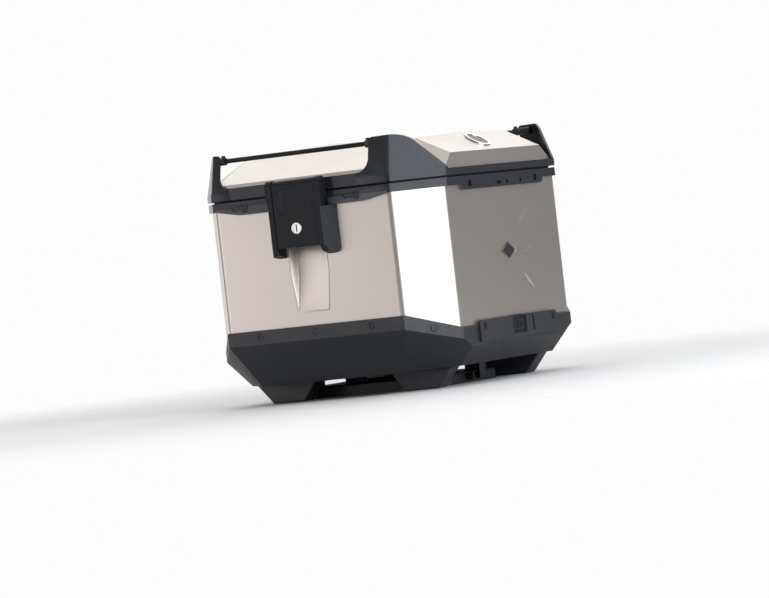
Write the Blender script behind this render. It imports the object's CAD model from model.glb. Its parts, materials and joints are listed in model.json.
"""Looks for a motorcycle top case: satin metal panels, moulded trim, latch, rack bars and base."""
import json
import math

import bmesh
import bpy
from mathutils import Matrix, Vector


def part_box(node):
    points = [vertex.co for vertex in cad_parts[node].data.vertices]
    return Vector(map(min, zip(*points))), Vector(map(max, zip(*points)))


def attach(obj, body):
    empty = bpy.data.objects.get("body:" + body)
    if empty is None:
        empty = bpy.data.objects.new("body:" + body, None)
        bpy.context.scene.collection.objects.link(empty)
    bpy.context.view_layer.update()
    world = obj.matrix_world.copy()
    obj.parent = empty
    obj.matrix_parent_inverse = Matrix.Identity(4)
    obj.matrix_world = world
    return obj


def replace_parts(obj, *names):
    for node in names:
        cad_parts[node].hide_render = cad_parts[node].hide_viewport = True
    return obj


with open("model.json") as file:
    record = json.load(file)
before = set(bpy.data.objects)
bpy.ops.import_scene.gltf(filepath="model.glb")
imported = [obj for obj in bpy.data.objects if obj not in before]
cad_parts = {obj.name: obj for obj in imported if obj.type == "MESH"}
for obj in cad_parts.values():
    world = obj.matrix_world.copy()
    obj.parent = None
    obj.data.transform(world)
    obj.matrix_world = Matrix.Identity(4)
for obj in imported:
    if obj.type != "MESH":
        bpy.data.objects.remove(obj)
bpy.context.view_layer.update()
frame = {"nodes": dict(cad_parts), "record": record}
MM = 0.001

# ---------------------------------------------------------------- materials


class Nodes:
    """A short way to write a material's node tree."""

    def __init__(self, name):
        self.material = bpy.data.materials.new(name)
        self.material.use_nodes = True
        self.tree = self.material.node_tree
        self.tree.nodes.clear()
        self.shader = self.add("ShaderNodeBsdfPrincipled")
        output = self.add("ShaderNodeOutputMaterial")
        self.link(self.shader.outputs[0], output.inputs["Surface"])
        self.place = self.add("ShaderNodeTexCoord").outputs["Object"]

    def add(self, kind, **values):
        node = self.tree.nodes.new(kind)
        for key, value in values.items():
            setattr(node, key, value)
        return node

    def link(self, source, target):
        self.tree.links.new(source, target)

    def stretched(self, scale):
        """The object's own coordinates, scaled along each axis."""
        mapping = self.add("ShaderNodeMapping")
        mapping.inputs["Scale"].default_value = scale
        self.link(self.place, mapping.inputs["Vector"])
        return mapping.outputs[0]

    def noise(self, scale, detail=3.0, rough=0.55, place=None):
        node = self.add("ShaderNodeTexNoise")
        node.inputs["Scale"].default_value = scale
        node.inputs["Detail"].default_value = detail
        node.inputs["Roughness"].default_value = rough
        self.link(place or self.place, node.inputs["Vector"])
        return node.outputs["Fac"]

    def spread(self, value, low, high):
        """Spreads the middle of a noise over a range."""
        node = self.add("ShaderNodeMapRange")
        node.inputs["From Min"].default_value = 0.3
        node.inputs["From Max"].default_value = 0.7
        node.inputs["To Min"].default_value = low
        node.inputs["To Max"].default_value = high
        self.link(value, node.inputs["Value"])
        return node.outputs[0]

    def mixed(self, value, dark, light):
        node = self.add("ShaderNodeMix", data_type="RGBA")
        first, second = [s for s in node.inputs if s.name in ("A", "B") and s.type == "RGBA"]
        first.default_value = (*dark, 1)
        second.default_value = (*light, 1)
        self.link(value, node.inputs["Factor"])
        return [s for s in node.outputs if s.type == "RGBA"][0]

    def bump(self, height, strength, distance, under=None):
        node = self.add("ShaderNodeBump")
        node.inputs["Strength"].default_value = strength
        node.inputs["Distance"].default_value = distance
        self.link(height, node.inputs["Height"])
        if under is not None:
            self.link(under, node.inputs["Normal"])
        return node.outputs[0]


def shade(colour, factor):
    return tuple(min(1.0, channel * factor) for channel in colour)


def moulded(name, colour, rough=0.5, grain=1500, depth=0.25, gloss=0.42, coat=0.0):
    """Moulded plastic: a fine spark-eroded grain, slow changes of tone, a few handling marks."""
    n = Nodes(name)
    slow = n.noise(9, 4)
    fine = n.noise(grain, 2, 0.6)
    marks = n.noise(60, 6, 0.7, n.stretched((1, 3, 1)))
    tone = n.mixed(n.spread(slow, 0, 1), shade(colour, 0.88), shade(colour, 1.14))
    n.link(tone, n.shader.inputs["Base Color"])
    n.link(n.spread(marks, rough - 0.05, rough + 0.07), n.shader.inputs["Roughness"])
    pebble = n.bump(fine, depth, 0.12 * MM)
    n.link(n.bump(slow, 0.08, 0.6 * MM, pebble), n.shader.inputs["Normal"])
    n.shader.inputs["Specular IOR Level"].default_value = gloss
    n.shader.inputs["Coat Weight"].default_value = coat
    n.shader.inputs["Coat Roughness"].default_value = 0.16
    return n.material


def satin_metal(name, colour, rough=0.36, direction=(1, 1, 40)):
    """Painted sheet metal: a fine flake under satin lacquer, faintly rolled in one direction."""
    n = Nodes(name)
    slow = n.noise(3.5, 3)
    flake = n.noise(2600, 1, 0.5)
    rolled = n.noise(70, 4, 0.6, n.stretched(direction))
    tone = n.mixed(n.spread(slow, 0, 1), shade(colour, 0.965), shade(colour, 1.03))
    n.link(tone, n.shader.inputs["Base Color"])
    n.link(n.spread(rolled, rough - 0.025, rough + 0.03), n.shader.inputs["Roughness"])
    grain = n.bump(flake, 0.06, 0.06 * MM)
    n.link(n.bump(rolled, 0.03, 0.12 * MM, grain), n.shader.inputs["Normal"])
    n.shader.inputs["Metallic"].default_value = 0.92
    n.shader.inputs["Coat Weight"].default_value = 0.25
    n.shader.inputs["Coat Roughness"].default_value = 0.22
    return n.material


def turned_metal(name, colour, rough=0.3):
    """Plated or ground steel with fine turning marks."""
    n = Nodes(name)
    marks = n.noise(900, 3, 0.6, n.stretched((1, 1, 12)))
    slow = n.noise(30, 4)
    tone = n.mixed(n.spread(slow, 0, 1), shade(colour, 0.8), shade(colour, 1.08))
    n.link(tone, n.shader.inputs["Base Color"])
    n.link(n.spread(marks, rough - 0.08, rough + 0.12), n.shader.inputs["Roughness"])
    n.link(n.bump(marks, 0.15, 0.04 * MM), n.shader.inputs["Normal"])
    n.shader.inputs["Metallic"].default_value = 1.0
    return n.material


def rubbery(name, colour, rough=0.75):
    """Matt rubber with a dusty bloom."""
    n = Nodes(name)
    bloom = n.noise(22, 6, 0.65)
    pores = n.noise(1100, 2)
    tone = n.mixed(n.spread(bloom, 0, 1), shade(colour, 0.8), shade(colour, 1.5))
    n.link(tone, n.shader.inputs["Base Color"])
    n.link(n.spread(bloom, rough - 0.1, rough + 0.1), n.shader.inputs["Roughness"])
    n.link(n.bump(pores, 0.3, 0.15 * MM), n.shader.inputs["Normal"])
    return n.material


CHAMPAGNE = (0.555, 0.510, 0.474)
BLACK = (0.014, 0.016, 0.020)
BASE_LOW_BLACK = (0.013, 0.0155, 0.0195)
RIM_BLACK = (0.014, 0.0165, 0.0225)
FLANGE_GREY = (0.075, 0.078, 0.092)
LATCH_BLACK = (0.011, 0.0125, 0.016)
LATCH_EDGE = shade(LATCH_BLACK, 1.8)
BAR_BLACK = (0.008, 0.009, 0.010)
BAR_EDGE = (0.02, 0.021, 0.023)
DISC_BLACK = (0.012, 0.012, 0.014)

LOOKS = {
    "shell_metal": satin_metal("champagne_panel", CHAMPAGNE),
    "lid_metal": satin_metal("champagne_lid", shade(CHAMPAGNE, 1.02), direction=(40, 1, 1)),
    "metal_edge": satin_metal("champagne_edge", shade(CHAMPAGNE, 1.12), rough=0.3),
    "black_plastic": moulded("base_plastic", BLACK, rough=0.46, grain=1300, depth=0.3, gloss=0.6),
    "base_lower": moulded("base_plastic_lower", BASE_LOW_BLACK, rough=0.5, grain=1300, depth=0.3, gloss=0.36),
    "black_edge": moulded("base_plastic_edge", shade(BLACK, 1.7), rough=0.42, grain=1300, depth=0.12),
    "rim_plastic": moulded("rim_plastic", RIM_BLACK, rough=0.4, grain=1700, depth=0.2, gloss=0.28, coat=0.3),
    "rim_flange": moulded("rim_flange_plastic", FLANGE_GREY, rough=0.42, grain=1700, depth=0.15),
    "rim_edge": moulded("rim_plastic_edge", shade(RIM_BLACK, 1.6), rough=0.36, grain=1700, depth=0.1),
    "latch_plastic": moulded("latch_plastic", LATCH_BLACK, rough=0.44, grain=1900, depth=0.15, gloss=0.22),
    "latch_edge": moulded("latch_plastic_edge", LATCH_EDGE, rough=0.36, grain=1900, depth=0.08, gloss=0.4),
    "bar_metal": moulded("bar_powder_coat", BAR_BLACK, rough=0.42, grain=2300, depth=0.2, gloss=0.25),
    "bar_edge": moulded("bar_powder_coat_edge", BAR_EDGE, rough=0.34, grain=2300, depth=0.1, gloss=0.35),
    "dark_screw": turned_metal("black_screw", (0.055, 0.056, 0.062), rough=0.38),
    "pin_steel": turned_metal("ground_pin", (0.55, 0.55, 0.56)),
    "seal_rubber": rubbery("seal_rubber", (0.018, 0.018, 0.018)),
    "pad_rubber": rubbery("buffer_rubber", (0.025, 0.025, 0.026)),
    "mat_rubber": rubbery("mat_rubber", (0.045, 0.045, 0.048), rough=0.8),
    "badge_silver": turned_metal("badge_ring", (0.78, 0.78, 0.79), rough=0.2),
    "badge_dark": moulded("badge_disc", DISC_BLACK, rough=0.24, grain=2500, depth=0.03, gloss=0.25),
    "mark_grey": moulded("mark_grey", (0.02, 0.02, 0.022), rough=0.35, grain=2500, depth=0.05),
    "lock_steel": turned_metal("lock_face", (0.86, 0.85, 0.83), rough=0.36),
}
EDGE_LOOKS = {
    "shell_metal": "metal_edge", "lid_metal": "metal_edge", "black_plastic": "black_edge",
    "rim_plastic": "rim_edge", "latch_plastic": "latch_edge", "bar_metal": "bar_edge",
    "mark_grey": "badge_silver",
}

# ---------------------------------------------------------------- mesh tools

BODY_OF = {node: body for body, nodes in frame["record"]["behaviour"]["bodies"].items() for node in nodes}
SLOT_OF = {part["node"]: part["material_slot"] for part in frame["record"]["subparts"]}


def mesh_of(node):
    """The CAD node's mesh as closed, flat-sided faces that can be bevelled."""
    bm = bmesh.new()
    bm.from_mesh(frame["nodes"][node].data)
    bmesh.ops.remove_doubles(bm, verts=bm.verts, dist=0.01 * MM)
    bmesh.ops.dissolve_limit(bm, angle_limit=math.radians(0.7), verts=bm.verts, edges=bm.edges)
    bm.normal_update()
    return bm


def bevel(bm, width, steps, chosen=None, turn=25):
    """Rounds the edges that turn by more than some degrees and pass a test."""
    edges = [
        e for e in bm.edges
        if e.is_manifold and e.calc_face_angle(0) > math.radians(turn) and (chosen is None or chosen(e))
    ]
    bmesh.ops.bevel(
        bm, geom=edges, offset=width, offset_type="OFFSET", segments=steps, profile=0.5, affect="EDGES",
        clamp_overlap=True, material=1,
    )


def piece(name, bm, body, slot, smooth=32):
    """A new piece with its finish and edge finish, riding on a body.

    Edges that turn by more than some degrees are sharp. A face that is much larger than the ones it curves
    into stays flat.
    """
    mesh = bpy.data.meshes.new(name)
    bm.normal_update()
    bm.to_mesh(mesh)
    bm.free()
    thing = bpy.data.objects.new(name, mesh)
    bpy.context.scene.collection.objects.link(thing)
    mesh.materials.append(LOOKS[slot])
    mesh.materials.append(LOOKS[EDGE_LOOKS.get(slot, slot)])
    mesh.shade_smooth()
    limit, coplanar, much_larger = math.radians(smooth), math.radians(0.5), 5
    sharp = mesh.attributes.new("sharp_edge", "BOOLEAN", "EDGE")
    check = bmesh.new()
    check.from_mesh(mesh)
    flags = [not e.is_manifold or e.calc_face_angle(0) > limit for e in check.edges]
    turning = [not flag and e.calc_face_angle(0) > coplanar for flag, e in zip(flags, check.edges)]
    curved = []
    for face in check.faces:
        beside = [
            g.calc_area() for e in face.edges if turning[e.index] for g in e.link_faces if g is not face
        ]
        curved.append(bool(beside) and face.calc_area() < much_larger * max(beside))
    check.free()
    sharp.data.foreach_set("value", flags)
    mesh.polygons.foreach_set("use_smooth", curved)
    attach(thing, body)
    return thing


def remake(node, width, steps):
    """A bevelled piece that stands for a CAD node."""
    bm = mesh_of(node)
    bevel(bm, width, steps)
    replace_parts(piece("v_" + node, bm, BODY_OF[node], SLOT_OF[node]), node)


for name, node in frame["nodes"].items():
    node.data.materials.clear()
    node.data.materials.append(LOOKS[SLOT_OF[name]])

# ---------------------------------------------------------------- pieces that only have their edges rounded

BEVELS_MM = {
    "base_tub": 2.2, "latch_channel": 0.6, "catch_ears": 0.5, "lid_seal": 1.2, "body_rim": 0.9,
    "lid_rim": 0.9, "latch_housing": 1.2, "latch_lever": 1.0, "rear_catch_cover": 0.9,
    "release_bezel": 0.5, "release_button": 0.8, "catch_box": 0.8, "mounting_plate": 0.8,
    "dock_sockets": 0.5, "release_hook": 0.4, "latch_claw": 0.4, "lid_striker": 0.3, "plate_pads": 1.0,
    "floor_mat": 0.6, "rear_badge": 0.3, "hinge_body_leaves": 0.5, "hinge_lid_leaves": 0.5,
    "foot_front_left": 2.0, "foot_front_right": 2.0, "foot_rear_left": 2.0, "foot_rear_right": 2.0,
    "corner_guard_front_left": 1.0, "corner_guard_front_right": 1.0, "corner_guard_rear_left": 1.0,
    "corner_guard_rear_right": 1.0, "base_screws": 0.15, "rim_screws": 0.15, "cover_screws": 0.2,
    "guard_caps": 0.3, "lock_barrel": 0.2, "lock_cam": 0.3, "catch_bar": 0.4, "dock_pins": 0.4,
    "hinge_pins": 0.4, "latch_pins": 0.3, "hook_pin": 0.3, "rack_bar_left": 0.4, "rack_bar_right": 0.4,
    "lid_badge_ring": 0.4, "lid_badge_disc": 0.4,
}
WIDE_BEVEL_MM = 1
for name, width in BEVELS_MM.items():
    remake(name, width * MM, 3 if width >= WIDE_BEVEL_MM else 2)

# ---------------------------------------------------------------- side panel and lid


def panel_bend(edge):
    """The upright outer bends of the folded side panel."""
    rise = abs(edge.verts[0].co.z - edge.verts[1].co.z)
    outward = (edge.verts[0].co + edge.verts[1].co) / 2 * Vector((1, 1, 0))
    return rise > 100 * MM and all(face.normal.dot(outward) > 0 for face in edge.link_faces)


shell = mesh_of("side_shell")
bevel(shell, 5 * MM, 6, panel_bend)
bevel(shell, 0.5 * MM, 2, turn=60)
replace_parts(piece("v_side_shell", shell, "case", "shell_metal", 30), "side_shell")

lid = mesh_of("lid_shell")
roof_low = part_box("lid_shell")[0].z + 1 * MM


def outside_roof(edge):
    """Edges between the roof's outer faces."""
    middle = (edge.verts[0].co + edge.verts[1].co) / 2
    centre = Vector((0, 0, roof_low - 0.1))
    outward = all(face.normal.dot(middle - centre) > 0 for face in edge.link_faces)
    return outward and min(v.co.z for v in edge.verts) > roof_low - 2 * MM and middle.z > roof_low


bevel(lid, 4.5 * MM, 5, outside_roof, turn=4)
folded_lid = piece("v_lid_shell", lid, "lid", "lid_metal", 30)
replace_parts(folded_lid, "lid_shell")
for face in folded_lid.data.polygons:
    face.use_smooth = face.material_index == 1  # only the rounded folds curve

# ---------------------------------------------------------------- finishes that differ from the slot's


def refinish(name, look, chosen):
    """Gives the chosen faces of a piece one more finish."""
    mesh = bpy.data.objects[name].data
    mesh.materials.append(LOOKS[look])
    for face in mesh.polygons:
        if chosen(face):
            face.material_index = len(mesh.materials) - 1


# the rim's slanting flange, the tub's lower part and the badge's bar
FLANGE_TOP, SMALLEST_FLANGE_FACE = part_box("body_rim")[1].z - 7 * MM, 4 * MM * MM
TUB_LOWER_TOP = 40 * MM
BADGE_BAR_START = 22 * MM


def flange_face(face):
    slanted = 0.04 < abs(face.normal.z) < 0.8
    return face.center.z < FLANGE_TOP and slanted and face.area > SMALLEST_FLANGE_FACE


refinish("v_body_rim", "rim_flange", flange_face)
refinish("v_base_tub", "base_lower", lambda face: face.normal.z < -0.1 or face.center.z < TUB_LOWER_TOP)
for face in bpy.data.objects["v_rear_badge"].data.polygons:
    if face.center.y > BADGE_BAR_START:
        face.material_index = 1

WHOLE_LOOKS = {
    "v_release_bezel": "latch_plastic", "v_release_button": "latch_plastic", "v_catch_bar": "dark_screw",
    "v_catch_ears": "dark_screw", "v_release_hook": "dark_screw",
}
for name, look in WHOLE_LOOKS.items():
    for k in range(2):
        bpy.data.objects[name].data.materials[k] = LOOKS[look]

# ---------------------------------------------------------------- pressed and moulded detail

RIDGE_SECTION = ((-1, 0), (-0.5, 0.75), (0, 1), (0.5, 0.75), (1, 0))


def pressed_ridge(name, start, end, face_x, half_width=3.2 * MM, height=1.2 * MM, steps=16, blunt=0.15):
    """A low ridge on the rear panel, between two points given as (y, z), that tapers to blunt ends."""
    bm = bmesh.new()
    start, end = Vector(start), Vector(end)
    across = (end - start).orthogonal().normalized()
    rows = []
    for k in range(steps + 1):
        swell = math.sin(math.pi * (k + blunt) / (steps + 2 * blunt))
        middle = start.lerp(end, k / steps)
        row = []
        for side, lift in RIDGE_SECTION:
            place = middle + across * side * half_width * swell
            row.append(bm.verts.new((face_x + lift * height * swell, place.x, place.y)))
        rows.append(row)
    for near, far in zip(rows[:-1], rows[1:]):
        for i in range(len(RIDGE_SECTION) - 1):
            bm.faces.new((near[i], near[i + 1], far[i + 1], far[i]))
        bm.faces.new((near[-1], near[0], far[0], far[-1]))
    bm.faces.new(rows[0][::-1])
    bm.faces.new(rows[-1])
    bmesh.ops.recalc_face_normals(bm, faces=bm.faces)
    piece(name, bm, "case", "shell_metal", 40)


panel_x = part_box("side_shell")[1].x - 0.05 * MM
pressed_ridge("panel_ridge_upper", (0.076, 0.2505), (0.042, 0.2265), panel_x)
pressed_ridge("panel_ridge_lower", (0.042, 0.1550), (0.074, 0.1285), panel_x)


def mat_ribs():
    """Raised ribs along the floor mat, shorter at its cut corners and in front of the catch box."""
    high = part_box("floor_mat")[1]
    margin, corner, spacing = 7 * MM, 62 * MM, 15 * MM
    half_rib, rise, sunk = 1.6 * MM, 0.9 * MM, 0.2 * MM
    cover_x, cover_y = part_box("catch_box")[0].x - 7 * MM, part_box("catch_box")[1].y + 6 * MM
    bm = bmesh.new()
    count = int((high.y - margin) / spacing)
    for k in range(-count, count + 1):
        y = k * spacing
        reach = min(high.x, high.x + high.y - corner - abs(y)) - margin
        rear = min(reach, cover_x) if abs(y) < cover_y else reach
        made = bmesh.ops.create_cube(bm, size=1)
        size = Vector((rear + reach, 2 * half_rib, rise + sunk))
        place = Vector(((rear - reach) / 2, y, high.z + (rise - sunk) / 2))
        for vert in made["verts"]:
            vert.co = Vector(a * b for a, b in zip(vert.co, size)) + place
    bevel(bm, 0.7 * MM, 2, lambda e: min(v.co.z for v in e.verts) > high.z)
    piece("mat_ribs", bm, "case", "mat_rubber")


mat_ribs()

# ---------------------------------------------------------------- studio


CASE_MIDDLE = Vector((0, 0, 0.2))


def away_from_case(azimuth, elevation):
    """The direction of a place round the case; azimuth 0 is on its left, 90 behind it."""
    a, e = math.radians(azimuth), math.radians(elevation)
    return Vector((math.sin(a) * math.cos(e), -math.cos(a) * math.cos(e), math.sin(e)))


def area_light(name, azimuth, elevation, distance, size, power, colour):
    """A soft box that faces the middle of the case."""
    away = away_from_case(azimuth, elevation)
    data = bpy.data.lights.new(name, "AREA")
    data.shape, data.size, data.size_y, data.energy, data.color = "RECTANGLE", size[0], size[1], power, colour
    lamp = bpy.data.objects.new(name, data)
    lamp.location = CASE_MIDDLE + away * distance
    lamp.rotation_mode = "QUATERNION"
    lamp.rotation_quaternion = (-away).to_track_quat("-Z", "Y")
    bpy.context.scene.collection.objects.link(lamp)


area_light("box_right", 75, 8, 2.2, (1.7, 2.2), 42, (0.9, 0.95, 1.0))
area_light("box_left", -46, 3, 3.0, (2.4, 1.5), 13.6, (1.0, 0.96, 0.99))

WORLD_BASE = 0.33
# each lobe: azimuth, elevation, the cosine at which it starts, and how much light it adds
WORLD_LOBES = [(208, 28, 0.58, 1.65), (30, 90, 0.55, 0.8), (-40, 2, 0.75, 0.3)]


def studio_world():
    """A white room, plain to the camera, with more light from the front right, above and the front left."""
    world = bpy.data.worlds.new("studio")
    bpy.context.scene.world = world
    world.use_nodes = True
    tree = world.node_tree
    tree.nodes.clear()

    def add(kind, **values):
        node = tree.nodes.new(kind)
        for key, value in values.items():
            setattr(node, key, value)
        return node

    direction = add("ShaderNodeTexCoord").outputs["Generated"]
    total = add("ShaderNodeValue").outputs[0]
    total.default_value = WORLD_BASE
    for azimuth, elevation, narrow, gain in WORLD_LOBES:
        facing = add("ShaderNodeVectorMath", operation="DOT_PRODUCT")
        tree.links.new(direction, facing.inputs[0])
        facing.inputs[1].default_value = away_from_case(azimuth, elevation)
        lobe = add("ShaderNodeMapRange", interpolation_type="SMOOTHSTEP")
        lobe.inputs["From Min"].default_value = narrow
        lobe.inputs["To Max"].default_value = gain
        tree.links.new(facing.outputs["Value"], lobe.inputs["Value"])
        both = add("ShaderNodeMath", operation="ADD")
        tree.links.new(total, both.inputs[0])
        tree.links.new(lobe.outputs[0], both.inputs[1])
        total = both.outputs[0]
    light, plain = add("ShaderNodeBackground"), add("ShaderNodeBackground")
    tree.links.new(total, light.inputs["Strength"])
    plain.inputs["Strength"].default_value = 1.0
    plain.inputs["Color"].default_value = (0.98, 0.98, 0.98, 1)
    seen = add("ShaderNodeMixShader")
    tree.links.new(add("ShaderNodeLightPath").outputs["Is Camera Ray"], seen.inputs[0])
    tree.links.new(light.outputs[0], seen.inputs[1])
    tree.links.new(plain.outputs[0], seen.inputs[2])
    tree.links.new(seen.outputs[0], add("ShaderNodeOutputWorld").inputs["Surface"])


def pale_floor(reach=1.5, solid=0.45, corners=72):
    """A round floor, solid near the case, that fades out into the white room."""
    mesh = bpy.data.meshes.new("floor")
    turns = [math.radians(360 / corners * k) for k in range(corners)]
    ring = [(reach * math.cos(t), reach * math.sin(t), 0) for t in turns]
    mesh.from_pydata(ring, [], [tuple(range(corners))])
    floor = bpy.data.objects.new("floor", mesh)
    bpy.context.scene.collection.objects.link(floor)
    n = Nodes("pale_floor")
    tone = n.mixed(n.spread(n.noise(1.2, 3), 0, 1), (0.86, 0.86, 0.86), (0.88, 0.88, 0.88))
    n.link(tone, n.shader.inputs["Base Color"])
    n.shader.inputs["Roughness"].default_value = 0.9
    far_out = n.add("ShaderNodeVectorMath", operation="LENGTH")
    n.link(n.place, far_out.inputs[0])
    fade = n.add("ShaderNodeMapRange", interpolation_type="SMOOTHSTEP")
    fade.inputs["From Min"].default_value = solid
    fade.inputs["From Max"].default_value = reach
    fade.inputs["To Min"].default_value = 1.0
    fade.inputs["To Max"].default_value = 0.0
    n.link(far_out.outputs["Value"], fade.inputs["Value"])
    n.link(fade.outputs[0], n.shader.inputs["Alpha"])
    mesh.materials.append(n.material)


LENS_MM, SENSOR_MM = 225.035, 36.0
CAMERA_PLACE = (3.5805, -6.3105, 0.227)
AZIMUTH, PITCH, ROLL = math.radians(29.7), math.radians(0.713), math.radians(6.506)


def photo_camera():
    """A long lens at the left rear, about level with the case's middle, tipped slightly down and rolled."""
    level_right = Vector((math.cos(AZIMUTH), math.sin(AZIMUTH), 0))
    level_forward = Vector((-math.sin(AZIMUTH), math.cos(AZIMUTH), 0))
    up = Vector((0, 0, 1))
    forward = level_forward * math.cos(PITCH) - up * math.sin(PITCH)
    upright = up * math.cos(PITCH) + level_forward * math.sin(PITCH)
    right = level_right * math.cos(ROLL) - upright * math.sin(ROLL)
    top = upright * math.cos(ROLL) + level_right * math.sin(ROLL)
    lens = bpy.data.cameras.new("photo_camera")
    lens.lens, lens.sensor_width = LENS_MM, SENSOR_MM
    lens.clip_start, lens.clip_end = 0.5, 100
    camera = bpy.data.objects.new("photo_camera", lens)
    axes = Matrix((right, top, -forward)).transposed()
    camera.matrix_world = Matrix.Translation(CAMERA_PLACE) @ axes.to_4x4()
    bpy.context.scene.collection.objects.link(camera)
    bpy.context.scene.camera = camera


studio_world()
pale_floor()
photo_camera()
bpy.context.scene.view_settings.view_transform = "Standard"
